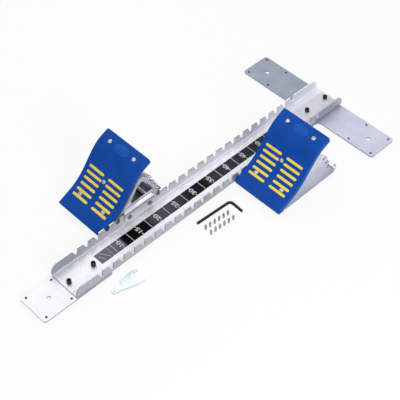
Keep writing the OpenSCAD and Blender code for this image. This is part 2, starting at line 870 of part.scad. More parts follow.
module corner_cut() {
    translate([0, 0, -2 * pad_t]) linear_extrude(4 * pad_t) difference() {
        translate([-over, -pad_corner]) square(pad_corner + over);
        translate([pad_corner, -pad_corner]) circle(pad_corner);
    }
}

module pad(side) {
    color("royalblue") place_block(side) difference() {
        across(pad_in, pad_out) slab(0, pad_len, 0, pad_t);
        on_face(pad_len, pad_in) corner_cut();
        on_face(pad_len, pad_out) mirror([1, 0, 0]) corner_cut();
        each_bar() bar_shape(fixed_play, -bar_sink, over);
        each_washer() translate([0, 0, -bar_sink])
            cylinder(h = bar_sink + over, r = bar_washer_r + fixed_play);
        for (p = screw_spots) on_face(p[1], pad_mid + p[0])
            translate([0, 0, -pad_t - over]) cylinder(h = pad_t + 2 * over, r = screw_r + fixed_play);
    }
}

module grip_bars(side) {
    color("gold") place_block(side) difference() {
        union() {
            each_bar() bar_shape(0, -bar_sink, bar_rise);
            each_washer() translate([0, 0, -bar_sink]) cylinder(h = bar_sink, r = bar_washer_r);
        }
        each_washer() cylinder(h = 2 * bar_rise, r = low_head_r + running);
        each_washer() translate([0, 0, -pad_t]) cylinder(h = 2 * pad_t, r = screw_r + fixed_play);
    }
}

module pad_screws(side) {
    reach = pad_t + pedal_t + screw_nut_h + 1;
    color("whitesmoke") place_block(side) for (p = screw_spots) on_face(p[1], pad_mid + p[0]) difference() {
        union() {
            cylinder(h = screw_head_h, r = p[1] == screw_low ? low_head_r : screw_head_r);
            translate([0, 0, -reach]) cylinder(h = reach + over, r = screw_r);
        }
        for (a = [0, 90]) rotate([0, 0, a]) translate([-screw_head_r / 2, -0.5, screw_head_h / 2])
            cube([screw_head_r, 1, screw_head_h]);
    }
}

module pad_nuts(side) {
    color("silver") place_block(side) for (p = screw_spots) on_face(p[1], pad_mid + p[0])
        translate([0, 0, -pad_t - pedal_t - screw_nut_h]) difference() {
            cylinder(h = screw_nut_h, r = flats_r(screw_nut_af), $fn = 6);
            translate([0, 0, -over]) cylinder(h = screw_nut_h + 2 * over, r = screw_r + fixed_play);
        }
}

// Hinge between a pedal and its prop

clip_t = 1.5;
hinge_from = hinge_lug_x[0] - clip_t;
hinge_to = hinge_lug_x[1] + lug_t + clip_t;

module hinge_pin(side) {
    color("silver") place_block(side) bar_across(hinge_from, hinge_to, hinge, hinge_r);
}

module hinge_clips(side) {
    color("silver") place_block(side) for (x = [hinge_from, hinge_to - clip_t]) difference() {
        bar_across(x, x + clip_t, hinge, hinge_r + 2);
        bar_across(x - over, x + clip_t + over, hinge, hinge_r + fixed_play);
    }
}

// Prop of a block

module prop_flange() {
    translate(hinge) {
        circle(prop_eye_r);
        rotate(prop_angle) {
            translate([prop_len, 0]) circle(prop_foot_r);
            polygon([[0, -prop_eye_r], [prop_len, -prop_foot_r], [prop_len, prop_foot_r], [0, prop_eye_r]]);
        }
    }
}

module prop(side) {
    web_from = prop_eye_r + 5;
    web_to = prop_len - prop_foot_r - 5;
    slot_r = (web_to - web_from) / 4;
    color("silver") place_block(side) difference() {
        union() {
            for (x = [prop_in, prop_out - prop_t]) across(x, x + prop_t) prop_flange();
            across(prop_in + prop_t / 2, prop_out - prop_t / 2) translate(hinge) rotate(prop_angle)
                translate([web_from, prop_foot_r - prop_t]) square([web_to - web_from, prop_t]);
        }
        bar_across(prop_in - over, prop_out + over, hinge, hinge_r + running);
        bar_across(prop_in - over, prop_out + over, seat, rod_r + fixed_play);
        translate([(prop_in + prop_out) / 2, hinge[0], hinge[1]]) rotate([prop_angle, 0, 0])
            translate([0, (web_from + web_to) / 2, 0])
                cylinder(h = 2 * prop_eye_r, r = min(slot_r, (prop_out - prop_in) / 4));
    }
}

module prop_rod(side) {
    color("white") place_block(side)
        bar_across(side_in - frame_t + running, side_out + rod_out, seat, rod_r);
}

module rod_collars(side) {
    color("silver") place_block(side)
        for (x = [prop_in - collar_t, prop_out]) difference() {
            bar_across(x, x + collar_t, seat, collar_r);
            bar_across(x - over, x + collar_t + over, seat, rod_r + fixed_play);
        }
}

rail();
scale_tape();
front_plate();
rear_crossplate();
front_bolts();
rear_bolts();
front_nuts();
rear_nuts();
front_spikes();
rear_spikes();
hex_key();
flat_spanner();
spare_spikes();
inner_side(-1);  // left_inner_side
outer_side(-1);  // left_outer_side
floor_plate(-1);  // left_floor_plate
tie_tube(-1);  // left_tie_tube
saddle(-1);  // left_saddle
notch_pins(-1);  // left_notch_pins
pivot_rod(-1);  // left_pivot_rod
pivot_nut(-1);  // left_pivot_nut
pedal_plate(-1);  // left_pedal_plate
pad(-1);  // left_pad
grip_bars(-1);  // left_grip_bars
pad_screws(-1);  // left_pad_screws
pad_nuts(-1);  // left_pad_nuts
hinge_pin(-1);  // left_hinge_pin
hinge_clips(-1);  // left_hinge_clips
prop(-1);  // left_prop
prop_rod(-1);  // left_prop_rod
rod_collars(-1);  // left_rod_collars
inner_side(1);  // right_inner_side
outer_side(1);  // right_outer_side
floor_plate(1);  // right_floor_plate
tie_tube(1);  // right_tie_tube
saddle(1);  // right_saddle
notch_pins(1);  // right_notch_pins
pivot_rod(1);  // right_pivot_rod
pivot_nut(1);  // right_pivot_nut
pedal_plate(1);  // right_pedal_plate
pad(1);  // right_pad
grip_bars(1);  // right_grip_bars
pad_screws(1);  // right_pad_screws
pad_nuts(1);  // right_pad_nuts
hinge_pin(1);  // right_hinge_pin
hinge_clips(1);  // right_hinge_clips
prop(1);  // right_prop
prop_rod(1);  // right_prop_rod
rod_collars(1);  // right_rod_collars
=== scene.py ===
import math

import bmesh
import bpy
from mathutils import Matrix, Vector


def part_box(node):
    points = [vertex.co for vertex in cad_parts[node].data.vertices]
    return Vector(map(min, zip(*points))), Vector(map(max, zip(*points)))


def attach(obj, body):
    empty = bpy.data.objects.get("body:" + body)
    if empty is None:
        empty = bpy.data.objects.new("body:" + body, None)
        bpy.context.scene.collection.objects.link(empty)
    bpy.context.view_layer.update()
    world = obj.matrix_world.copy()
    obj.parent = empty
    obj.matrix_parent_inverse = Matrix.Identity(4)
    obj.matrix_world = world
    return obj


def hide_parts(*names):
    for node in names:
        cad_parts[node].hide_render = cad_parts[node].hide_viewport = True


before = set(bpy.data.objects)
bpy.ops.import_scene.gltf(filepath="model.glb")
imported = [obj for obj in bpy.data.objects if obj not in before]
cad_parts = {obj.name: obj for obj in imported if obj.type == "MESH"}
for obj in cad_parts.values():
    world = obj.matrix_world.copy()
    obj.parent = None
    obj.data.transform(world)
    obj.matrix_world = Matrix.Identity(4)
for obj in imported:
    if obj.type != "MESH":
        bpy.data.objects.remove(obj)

for start_up in ("Cube", "Light", "Camera"):
    if start_up in bpy.data.objects:
        bpy.data.objects.remove(bpy.data.objects[start_up])
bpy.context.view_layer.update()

# The viewpoint: someone standing at the runner's right, ahead of the blocks,
# looks down at them. A long lens is turned a little about its own line of sight.
VIEW_AZIMUTH = math.radians(44.29)
VIEW_ELEVATION = math.radians(48.68)
VIEW_ROLL = math.radians(1.43)
VIEW_DISTANCE = 2.087
VIEW_TARGET = Vector((0.0171, 0.0002, 0.0))
LENS = 90.86
SENSOR_WIDTH = 36.0
FAR_CLIP = 20.0

to_camera = Vector((
    math.sin(VIEW_AZIMUTH) * math.cos(VIEW_ELEVATION),
    -math.cos(VIEW_AZIMUTH) * math.cos(VIEW_ELEVATION),
    math.sin(VIEW_ELEVATION),
))
level_right = Vector((math.cos(VIEW_AZIMUTH), math.sin(VIEW_AZIMUTH), 0.0))
level_up = to_camera.cross(level_right)
right = level_right * math.cos(VIEW_ROLL) + level_up * math.sin(VIEW_ROLL)
up = level_up * math.cos(VIEW_ROLL) - level_right * math.sin(VIEW_ROLL)
lens = bpy.data.cameras.new("camera")
lens.lens = LENS
lens.sensor_width = SENSOR_WIDTH
lens.clip_end = FAR_CLIP
camera = bpy.data.objects.new("camera", lens)
turn = Matrix((right, up, to_camera)).transposed().to_4x4()
camera.matrix_world = Matrix.Translation(VIEW_TARGET + to_camera * VIEW_DISTANCE) @ turn
bpy.context.scene.collection.objects.link(camera)
bpy.context.scene.camera = camera
bpy.context.scene.view_settings.view_transform = "Standard"

# The studio: a white paper sweep and an even sky. One wide panel hangs at the runner's left
# and looks at the front half of the rail, and a smaller, stronger one stands at the right.
SKY = (0.97, 0.98, 1.0)
SKY_LEVEL = 0.46
PAPER = (0.93, 0.93, 0.93)
PAPER_GLOW = 0.89
SWEEP = 6.0
# Each panel's name, place, aim, side and power.
PANELS = (
    ("panel_over_front", (-0.72, 0.20, 1.2), (0.0, -0.13, 0.0), 1.5, 6.6),
    ("panel_right", (1.55, -0.4, 1.1), (0.0, 0.0, 0.05), 0.9, 18.0),
)

sky = bpy.data.worlds.new("sky")
sky.use_nodes = True
sky_nodes = sky.node_tree.nodes
sky_links = sky.node_tree.links
sky_light = sky_nodes["Background"]
sky_light.inputs["Color"].default_value = (*SKY, 1.0)
sky_light.inputs["Strength"].default_value = SKY_LEVEL
sky_seen = sky_nodes.new("ShaderNodeBackground")
sky_seen.inputs["Color"].default_value = (1.0, 1.0, 1.0, 1.0)
sky_mix = sky_nodes.new("ShaderNodeMixShader")


def seen_directly(nodes, links):
    """1 where the camera, a reflection or something clear looks at the surface."""
    path = nodes.new("ShaderNodeLightPath")
    either = nodes.new("ShaderNodeMath")
    either.operation = "MAXIMUM"
    links.new(path.outputs["Is Camera Ray"], either.inputs[0])
    links.new(path.outputs["Is Glossy Ray"], either.inputs[1])
    any_of = nodes.new("ShaderNodeMath")
    any_of.operation = "MAXIMUM"
    links.new(either.outputs[0], any_of.inputs[0])
    links.new(path.outputs["Is Transmission Ray"], any_of.inputs[1])
    return any_of.outputs[0]


sky_links.new(seen_directly(sky_nodes, sky_links), sky_mix.inputs[0])
sky_links.new(sky_light.outputs[0], sky_mix.inputs[1])
sky_links.new(sky_seen.outputs[0], sky_mix.inputs[2])
sky_links.new(sky_mix.outputs[0], sky_nodes["World Output"].inputs[0])
bpy.context.scene.world = sky

for name, place, aim, size, power in PANELS:
    panel = bpy.data.lights.new(name, "AREA")
    panel.shape = "SQUARE"
    panel.size = size
    panel.energy = power
    lamp = bpy.data.objects.new(name, panel)
    lamp.location = place
    lamp.rotation_euler = (Vector(aim) - Vector(place)).to_track_quat("-Z", "Y").to_euler()
    bpy.context.scene.collection.objects.link(lamp)

sweep_corners = [(x * SWEEP, y * SWEEP, 0) for x, y in ((-1, -1), (1, -1), (1, 1), (-1, 1))]
sweep_mesh = bpy.data.meshes.new("sweep")
sweep_mesh.from_pydata(sweep_corners, [], [(0, 1, 2, 3)])
sweep = bpy.data.objects.new("sweep", sweep_mesh)
bpy.context.scene.collection.objects.link(sweep)
paper = bpy.data.materials.new("white_paper")
paper.use_nodes = True
paper_nodes = paper.node_tree.nodes
paper_links = paper.node_tree.links
paper_lit = paper_nodes["Principled BSDF"]
paper_lit.inputs["Base Color"].default_value = (*PAPER, 1.0)
paper_lit.inputs["Roughness"].default_value = 1.0
paper_lit.inputs["Specular IOR Level"].default_value = 0.0
paper_glow = paper_nodes.new("ShaderNodeEmission")
paper_glow.inputs["Color"].default_value = (1.0, 1.0, 1.0, 1.0)
paper_share = paper_nodes.new("ShaderNodeMath")
paper_share.operation = "MULTIPLY"
paper_share.inputs[1].default_value = PAPER_GLOW
paper_mix = paper_nodes.new("ShaderNodeMixShader")
paper_links.new(seen_directly(paper_nodes, paper_links), paper_share.inputs[0])
paper_links.new(paper_share.outputs[0], paper_mix.inputs[0])
paper_links.new(paper_lit.outputs[0], paper_mix.inputs[1])
paper_links.new(paper_glow.outputs[0], paper_mix.inputs[2])
paper_links.new(paper_mix.outputs[0], paper_nodes["Material Output"].inputs["Surface"])
sweep.data.materials.append(paper)

# The channel rail: 2.5 mm sheet folded up along both sides, each flange punched with a row
# of notches, then dipped in bright zinc. It lies on the two ground plates. Its tones stand
# for what the metal mirrors, and so they drift along the rail and across it.
MM = 0.001
# Each pair of tones is for the darker and the paler clouds in the plating.
WEB_FRONT = ((0.69, 0.69, 0.73), (0.76, 0.76, 0.80))
WEB_REAR = ((0.57, 0.58, 0.64), (0.64, 0.65, 0.71))
FLANGE_FRONT = ((0.30, 0.34, 0.42), (0.37, 0.41, 0.49))
FLANGE_REAR = ((0.54, 0.55, 0.57), (0.58, 0.59, 0.61))
RIGHT_FLANGE = ((0.47, 0.50, 0.55), (0.56, 0.58, 0.64))
# The folds between web and flanges are painted darker than both, a painted shade in the bends.
FOLD_SHADE_FRONT = ((0.37, 0.39, 0.44), (0.42, 0.44, 0.49))
FOLD_SHADE_REAR = ((0.52, 0.54, 0.59), (0.58, 0.60, 0.65))
WEB_REACH = ("Y", -100.0, 350.0)
FLANGE_REACH = ("Y", -330.0, -170.0)
FOLD_REACH = ("Y", -150.0, -90.0)
# Strips beside the middle, and the share of light that each gets. The left one has a share
# for each of five places along the rail.
LEFT_STRIP = ("X", -14.0, -24.0)
LEFT_SHARES = ((-351.0, 0.94), (-175.0, 0.98), (-141.0, 1.18), (-90.0, 1.10), (230.0, 1.36))
RIGHT_STRIP = ("X", 19.0, 25.0)
RIGHT_SHARE = 0.82
MIDDLE_LINE = ("X", -5.0, 5.0)
ZINC_METAL = 0.62
ZINC_CLOUDS = 26.0
ZINC_LINES = 30.0
ZINC_BUMP = 0.04
BUMP_STRENGTH = 0.3
SHEET_EDGE = 0.4
# How far up a face has to look to count as level, or as part of a fold.
LOOKS_UP = (0.6, 0.97)
FOLD_STARTS = (0.0, 0.2)
FOLD_ENDS = (0.65, 0.97)
ALONG_RAIL = (40.0, 1.0, 40.0)


def start_material(name, metallic, roughness):
    """A new material, with its parts and the place it draws its patterns from."""
    material = bpy.data.materials.new(name)
    material.use_nodes = True
    nodes = material.node_tree.nodes
    shader = nodes["Principled BSDF"]
    shader.inputs["Metallic"].default_value = metallic
    shader.inputs["Roughness"].default_value = roughness
    place = nodes.new("ShaderNodeTexCoord")
    return material, shader, place.outputs["Object"]


def grain(material, place, scale, detail, stretch=(1.0, 1.0, 1.0)):
    """Cloudy noise of so many spots to the metre, drawn out by stretch."""
    nodes = material.node_tree.nodes
    links = material.node_tree.links
    mapping = nodes.new("ShaderNodeMapping")
    mapping.inputs["Scale"].default_value = stretch
    noise = nodes.new("ShaderNodeTexNoise")
    noise.inputs["Scale"].default_value = scale
    noise.inputs["Detail"].default_value = detail
    links.new(place, mapping.inputs["Vector"])
    links.new(mapping.outputs["Vector"], noise.inputs["Vector"])
    return noise.outputs["Fac"]


def between(material, fac, low, high, start=0.35, end=0.65):
    """Turns a pattern into a colour, or a number, that runs from low to high."""
    nodes = material.node_tree.nodes
    links = material.node_tree.links
    if isinstance(low, tuple):
        ramp = nodes.new("ShaderNodeValToRGB")
        ramp.color_ramp.elements[0].position = start
        ramp.color_ramp.elements[0].color = (*low, 1.0)
        ramp.color_ramp.elements[1].position = end
        ramp.color_ramp.elements[1].color = (*high, 1.0)
        links.new(fac, ramp.inputs["Fac"])
        return ramp.outputs["Color"]
    spread = nodes.new("ShaderNodeMapRange")
    spread.inputs["From Min"].default_value = start
    spread.inputs["From Max"].default_value = end
    spread.inputs["To Min"].default_value = low
    spread.inputs["To Max"].default_value = high
    links.new(fac, spread.inputs["Value"])
    return spread.outputs["Result"]


def drift(material, place, axis, start, end):
    """A pattern that rises from 0 to 1 along one axis, from start to end in millimetres."""
    nodes = material.node_tree.nodes
    links = material.node_tree.links
    split = nodes.new("ShaderNodeSeparateXYZ")
    spread = nodes.new("ShaderNodeMapRange")
    spread.inputs["From Min"].default_value = start * MM
    spread.inputs["From Max"].default_value = end * MM
    links.new(place, split.inputs[0])
    links.new(split.outputs[axis], spread.inputs["Value"])
    return spread.outputs["Result"]


def mixed(material, fac, first, second):
    """Two patterns of colour blended by a third."""
    nodes = material.node_tree.nodes
    links = material.node_tree.links
    blend = nodes.new("ShaderNodeMix")
    blend.data_type = "RGBA"
    links.new(fac, blend.inputs[0])
    links.new(first, blend.inputs[6])
    links.new(second, blend.inputs[7])
    return blend.outputs[2]


def raise_surface(material, shader, fac, height, edge=0.0, strength=BUMP_STRENGTH):
    """Bump of so many millimetres from a pattern, over edges rounded by edge millimetres."""
    nodes = material.node_tree.nodes
    links = material.node_tree.links
    bump = nodes.new("ShaderNodeBump")
    bump.inputs["Strength"].default_value = strength
    bump.inputs["Distance"].default_value = height * MM
    links.new(fac, bump.inputs["Height"])
    if edge:
        rounding = nodes.new("ShaderNodeBevel")
        rounding.samples = 4
        rounding.inputs["Radius"].default_value = edge * MM
        links.new(rounding.outputs["Normal"], bump.inputs["Normal"])
    links.new(bump.outputs["Normal"], shader.inputs["Normal"])


def toned(material, place, clouds, tones, far_tones=None, reach=None):
    """Clouded colour, which may turn into other tones along one axis."""
    colour = between(material, clouds, *tones)
    if far_tones is None:
        return colour
    far_colour = between(material, clouds, *far_tones)
    return mixed(material, drift(material, place, *reach), colour, far_colour)


def zinc_sheet(name, rough, along, flat, upright=None, upright_right=None, fold=None):
    """Zinc-plated sheet: clouds in the plating and fine rolling lines. Faces that don't
    look up, such as flanges and cut edges, may have tones of their own, those at the
    right others again, and the folds between them theirs. These tones by facing are
    painted light and shade, and on some cut edges the metal's own colour."""
    material, shader, place = start_material(name, ZINC_METAL, 0.4)
    nodes = material.node_tree.nodes
    links = material.node_tree.links
    clouds = grain(material, place, ZINC_CLOUDS, detail=4.0)
    lines = grain(material, place, ZINC_LINES, detail=2.0, stretch=along)
    colour = toned(material, place, clouds, *flat)
    if upright:
        split = nodes.new("ShaderNodeSeparateXYZ")
        links.new(nodes["Texture Coordinate"].outputs["Normal"], split.inputs[0])
        rise = split.outputs["Z"]
        sides = toned(material, place, clouds, *upright)
        if upright_right:
            right_sides = toned(material, place, clouds, *upright_right)
            sides = mixed(material, drift(material, place, *MIDDLE_LINE), sides, right_sides)
        colour = mixed(material, between(material, rise, 0.0, 1.0, *LOOKS_UP), sides, colour)
        if fold:
            bend = nodes.new("ShaderNodeMath")
            bend.operation = "MULTIPLY"
            links.new(between(material, rise, 0.0, 1.0, *FOLD_STARTS), bend.inputs[0])
            links.new(between(material, rise, 1.0, 0.0, *FOLD_ENDS), bend.inputs[1])
            colour = mixed(material, bend.outputs[0], colour, toned(material, place, clouds, *fold))
    links.new(colour, shader.inputs["Base Color"])
    links.new(between(material, lines, *rough), shader.inputs["Roughness"])
    raise_surface(material, shader, lines, ZINC_BUMP, SHEET_EDGE)
    return material


def dress(node, material):
    """Gives a carried-over node its finished material."""
    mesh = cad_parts[node].data
    mesh.materials.clear()
    mesh.materials.append(material)


def steps_along(material, place, steps, waver=None):
    """A colour that runs through tones set at places along Y, in millimetres."""
    nodes = material.node_tree.nodes
    links = material.node_tree.links
    start = steps[0][0]
    end = steps[-1][0]
    fac = drift(material, place, "Y", start, end)
    if waver:
        shifted = nodes.new("ShaderNodeMath")
        links.new(fac, shifted.inputs[0])
        links.new(waver, shifted.inputs[1])
        fac = shifted.outputs[0]
    ramp = nodes.new("ShaderNodeValToRGB")
    places = [(spot - start) / (end - start) for spot, tone in steps]
    for share in places[1:-1]:
        ramp.color_ramp.elements.new(share)
    for element, share, (spot, tone) in zip(ramp.color_ramp.elements, places, steps):
        element.position = share
        element.color = (*tone, 1.0)
    links.new(fac, ramp.inputs["Fac"])
    return ramp.outputs["Color"]


def blended(material, fac, first, second):
    """A number that turns from first to second as a pattern rises. Either may be a
    pattern of its own."""
    blend = material.node_tree.nodes.new("ShaderNodeMix")
    links = material.node_tree.links
    links.new(fac, blend.inputs[0])
    for value, socket in ((first, blend.inputs[2]), (second, blend.inputs[3])):
        if isinstance(value, float):
            socket.default_value = value
        else:
            links.new(value, socket)
    return blend.outputs[0]


def shade_sides(material, left_shares, right_share):
    """Gives the sheet's left and right strips a share of their colour. The left share has
    steps along Y; a ramp's tones end at 1, so it holds half of each and is doubled."""
    nodes = material.node_tree.nodes
    links = material.node_tree.links
    place = nodes["Texture Coordinate"].outputs["Object"]
    target = nodes["Principled BSDF"].inputs["Base Color"]
    colour = target.links[0].from_socket
    doubled = nodes.new("ShaderNodeMath")
    doubled.operation = "MULTIPLY"
    doubled.inputs[1].default_value = 2.0
    halves = [(spot, (share / 2,) * 3) for spot, share in left_shares]
    links.new(steps_along(material, place, halves), doubled.inputs[0])
    share = blended(material, drift(material, place, *LEFT_STRIP), 1.0, doubled.outputs[0])
    share = blended(material, drift(material, place, *RIGHT_STRIP), share, right_share)
    scaled = nodes.new("ShaderNodeVectorMath")
    scaled.operation = "SCALE"
    links.new(colour, scaled.inputs[0])
    links.new(share, scaled.inputs["Scale"])
    links.new(scaled.outputs[0], target)


rail_zinc = zinc_sheet(
    "rail_zinc", rough=(0.38, 0.5), along=ALONG_RAIL,
    flat=(WEB_FRONT, WEB_REAR, WEB_REACH),
    upright=(FLANGE_FRONT, FLANGE_REAR, FLANGE_REACH),
    upright_right=(RIGHT_FLANGE,),
    fold=(FOLD_SHADE_FRONT, FOLD_SHADE_REAR, FOLD_REACH))
shade_sides(rail_zinc, LEFT_SHARES, RIGHT_SHARE)
dress("rail", rail_zinc)

# The scale: a black film with centimetre figures, stuck to the floor of the channel.
# The figures stand upside down to someone ahead of the blocks, as the runner reads them.
# The gloss of the film mirrors the room, so its black has paler and darker stretches.
FILM_TINT = (1.0, 1.02, 1.28)
# Millimetres on the scale, and the film's grey there.
FILM_GREYS = (
    (42, 0.18), (104, 0.14), (109, 0.002), (172, 0.005), (190, 0.075), (225, 0.088),
    (298, 0.010), (335, 0.010), (355, 0.042), (484, 0.042),
)
FILM_SHINE = 0.02
FILM_ROUGH = (0.24, 0.4)
FILM_SCRATCHES = 320.0
FILM_WAVES = 30.0
FILM_WAVER = 0.006
FILM_BUMP = 0.02
INK = (0.62, 0.59, 0.55)
INK_FADED = (0.46, 0.43, 0.40)
INK_SPOTS = 500.0
INK_WORN = (0.3, 0.5)
SCALE_ZERO = -301.1
FIRST_FIGURE = 10
LAST_FIGURE = 55
FIGURE_STEP = 5
FIGURE_HEIGHT = 13.5
FIGURE_STRETCH = 1.3
FIGURE_WEIGHT = 0.45
FIRST_LINE = 83
LINE_WIDTH = 1.4
# Both ends of each thin line, across the film and along the scale, and its width.
SLANTS = ((2.0, 73, 26.4, 73, 0.7), (1.0, 53, 24.0, 67, 1.0), (7.0, 47, 23.0, 55, 1.0))
TICK_WIDTH = 1.8
TICK_LENGTH = 4.5
INK_THICK = 0.08

film, film_shader, film_place = start_material("scale_film", 0.0, 0.3)
film_shader.inputs["Specular IOR Level"].default_value = FILM_SHINE
film_links = film.node_tree.links
film_waves = grain(film, film_place, FILM_WAVES, detail=1.0)
film_waver = between(film, film_waves, -FILM_WAVER, FILM_WAVER)
film_steps = [(SCALE_ZERO + mark, [grey * tint for tint in FILM_TINT]) for mark, grey in FILM_GREYS]
film_colour = steps_along(film, film_place, film_steps, film_waver)
film_links.new(film_colour, film_shader.inputs["Base Color"])
film_rub = grain(film, film_place, FILM_SCRATCHES, detail=4.0)
film_links.new(between(film, film_rub, *FILM_ROUGH), film_shader.inputs["Roughness"])
raise_surface(film, film_shader, film_rub, FILM_BUMP)
dress("scale_tape", film)

ink, ink_shader, ink_place = start_material("scale_ink", 0.0, 0.5)
ink_wear = grain(ink, ink_place, INK_SPOTS, detail=4.0)
ink_colour = between(ink, ink_wear, INK_FADED, INK, *INK_WORN)
ink.node_tree.links.new(ink_colour, ink_shader.inputs["Base Color"])
raise_surface(ink, ink_shader, ink_wear, FILM_BUMP)

tape_low, tape_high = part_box("scale_tape")
tape_middle = (tape_low.x + tape_high.x) / 2
tape_top = tape_high.z


def add_mesh(name, mesh, material):
    """Puts a finished mesh into the scene as a piece."""
    piece = bpy.data.objects.new(name, mesh)
    bpy.context.scene.collection.objects.link(piece)
    mesh.materials.append(material)
    return piece


def add_block(bm, low, high):
    """A block between two corners."""
    made = bmesh.ops.create_cube(bm, size=1.0)["verts"]
    size = Vector(high) - Vector(low)
    middle = (Vector(high) + Vector(low)) / 2
    for vert in made:
        vert.co = Vector((vert.co.x * size.x, vert.co.y * size.y, vert.co.z * size.z)) + middle


def close_mesh(bm, name):
    """Turns all faces outwards and hands over the finished mesh."""
    bmesh.ops.recalc_face_normals(bm, faces=bm.faces)
    mesh = bpy.data.meshes.new(name)
    bm.to_mesh(mesh)
    bm.free()
    return mesh


def print_line(bm, from_x, to_x, mark, width):
    """One printed line across the film at so many millimetres on the scale."""
    y = (SCALE_ZERO + mark) * MM
    low = (from_x, y - width * MM / 2, tape_top - INK_THICK * MM)
    high = (to_x, y + width * MM / 2, tape_top + INK_THICK * MM)
    add_block(bm, low, high)


def print_slant(bm, from_x, from_mark, to_x, to_mark, width):
    """A thin printed line between two places, measured from the film's left edge."""
    start = Vector((tape_low.x + from_x * MM, (SCALE_ZERO + from_mark) * MM))
    end = Vector((tape_low.x + to_x * MM, (SCALE_ZERO + to_mark) * MM))
    side = (end - start).orthogonal().normalized() * width * MM / 2
    corners = (start - side, end - side, end + side, start + side)
    low = [bm.verts.new((c.x, c.y, tape_top - INK_THICK * MM)) for c in corners]
    high = [bm.verts.new((c.x, c.y, tape_top + INK_THICK * MM)) for c in corners]
    bm.faces.new(high)
    bm.faces.new(list(reversed(low)))
    for i in range(4):
        k = (i + 1) % 4
        bm.faces.new((low[i], low[k], high[k], high[i]))


def print_text(bm, words, mark):
    """Printed figures in the middle of the film, their tops towards the front."""
    curve = bpy.data.curves.new("figure", "FONT")
    curve.offset = FIGURE_WEIGHT * MM
    curve.body = words
    curve.size = FIGURE_HEIGHT * MM
    curve.align_x = "CENTER"
    curve.align_y = "CENTER"
    curve.extrude = INK_THICK * MM
    stencil = bpy.data.objects.new("figure", curve)
    bpy.context.scene.collection.objects.link(stencil)
    bpy.context.view_layer.update()
    depsgraph = bpy.context.evaluated_depsgraph_get()
    shape = bpy.data.meshes.new_from_object(stencil.evaluated_get(depsgraph))
    shape.transform(Matrix.Scale(FIGURE_STRETCH, 4, (1.0, 0.0, 0.0)))
    shape.transform(Matrix.Rotation(math.pi, 4, "Z"))
    shape.transform(Matrix.Translation((tape_middle, (SCALE_ZERO + mark) * MM, tape_top)))
    bm.from_mesh(shape)
    bpy.data.objects.remove(stencil)
    bpy.data.curves.remove(curve)
    bpy.data.meshes.remove(shape)


bm = bmesh.new()
halfway = range(10 * FIRST_FIGURE + 5 * FIGURE_STEP, 10 * LAST_FIGURE, 10 * FIGURE_STEP)
for mark in (FIRST_LINE, *halfway):
    print_line(bm, tape_low.x, tape_high.x, mark, LINE_WIDTH)
for figure in range(FIRST_FIGURE, LAST_FIGURE + 1, FIGURE_STEP):
    mark = 10 * figure
    print_text(bm, str(figure), mark)
    print_line(bm, tape_low.x, tape_low.x + TICK_LENGTH * MM, mark, TICK_WIDTH)
    print_line(bm, tape_high.x - TICK_LENGTH * MM, tape_high.x, mark, TICK_WIDTH)
for slant in SLANTS:
    print_slant(bm, *slant)
scale_print = add_mesh("scale_print", close_mesh(bm, "scale_print"), ink)
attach(scale_print, "rail_unit")

# The ground plates: flat 3 mm steel, zinc plated, a short one under the rail's front and
# a T-shaped one under its rear. Each is bolted up through the rail's floor.
FRONT_TONES = ((0.65, 0.66, 0.70), (0.68, 0.69, 0.73))
# The T-plate is painted darker on its left wing, lighter on its right: painted shade and
# reflection.
WING_LEFT_SHADED = ((0.28, 0.31, 0.39), (0.33, 0.36, 0.44))
WING_RIGHT_LIT = ((0.54, 0.56, 0.68), (0.61, 0.63, 0.75))
# The plates' cut edges are painted darker grey, a painted shade on faces that don't look up.
CUT_EDGE_SHADE = ((0.26, 0.28, 0.33), (0.34, 0.36, 0.41))
ACROSS_RAIL = (1.0, 40.0, 40.0)
front_zinc = zinc_sheet(
    "front_plate_zinc", rough=(0.38, 0.48), along=ALONG_RAIL,
    flat=(FRONT_TONES,), upright=(CUT_EDGE_SHADE,))
cross_zinc = zinc_sheet(
    "crossplate_zinc", rough=(0.38, 0.5), along=ACROSS_RAIL,
    flat=(WING_LEFT_SHADED, WING_RIGHT_LIT, ("X", -60.0, 60.0)), upright=(CUT_EDGE_SHADE,))
dress("front_plate", front_zinc)
dress("rear_crossplate", cross_zinc)

# Bolts: blackened steel socket heads stand on the rail's floor, and plated round nuts
# under the ground plates hold them.
BLACK = (0.006, 0.006, 0.007)
BLACK_RUBBED = (0.022, 0.022, 0.026)
BLACK_SHINE = 0.3
BLACK_ROUGH = (0.32, 0.5)
BLACK_SPOTS = 260.0
BLACK_WORN = (0.5, 0.75)
BLACK_BUMP = 0.03
BLACK_EDGE = 0.3
STEEL_METAL = 0.95
STEEL_SPOTS = 340.0
STEEL_BUMP = 0.02
STEEL_EDGE = 0.25
blackened, black_shader, black_place = start_material("blackened_steel", 0.0, 0.4)
black_shader.inputs["Specular IOR Level"].default_value = BLACK_SHINE
black_links = blackened.node_tree.links
black_rub = grain(blackened, black_place, BLACK_SPOTS, detail=4.0)
black_colour = between(blackened, black_rub, BLACK, BLACK_RUBBED, *BLACK_WORN)
black_links.new(black_colour, black_shader.inputs["Base Color"])
black_links.new(between(blackened, black_rub, *BLACK_ROUGH), black_shader.inputs["Roughness"])
raise_surface(blackened, black_shader, black_rub, BLACK_BUMP, BLACK_EDGE, strength=0.4)
for node in ("front_bolts", "rear_bolts"):
    dress(node, blackened)


def turned_steel(name, bright, dull, rough, edge=STEEL_EDGE):
    """Turned and plated small parts, bright with small dull spots."""
    material, shader, place = start_material(name, STEEL_METAL, 0.3)
    links = material.node_tree.links
    spots = grain(material, place, STEEL_SPOTS, detail=3.0)
    links.new(between(material, spots, dull, bright), shader.inputs["Base Color"])
    links.new(between(material, spots, rough[1], rough[0]), shader.inputs["Roughness"])
    raise_surface(material, shader, spots, STEEL_BUMP, edge)
    return material


small_zinc = turned_steel(
    "small_part_zinc", bright=(0.66, 0.67, 0.70), dull=(0.50, 0.51, 0.54), rough=(0.2, 0.36))
for node in ("front_nuts", "rear_nuts"):
    dress(node, small_zinc)

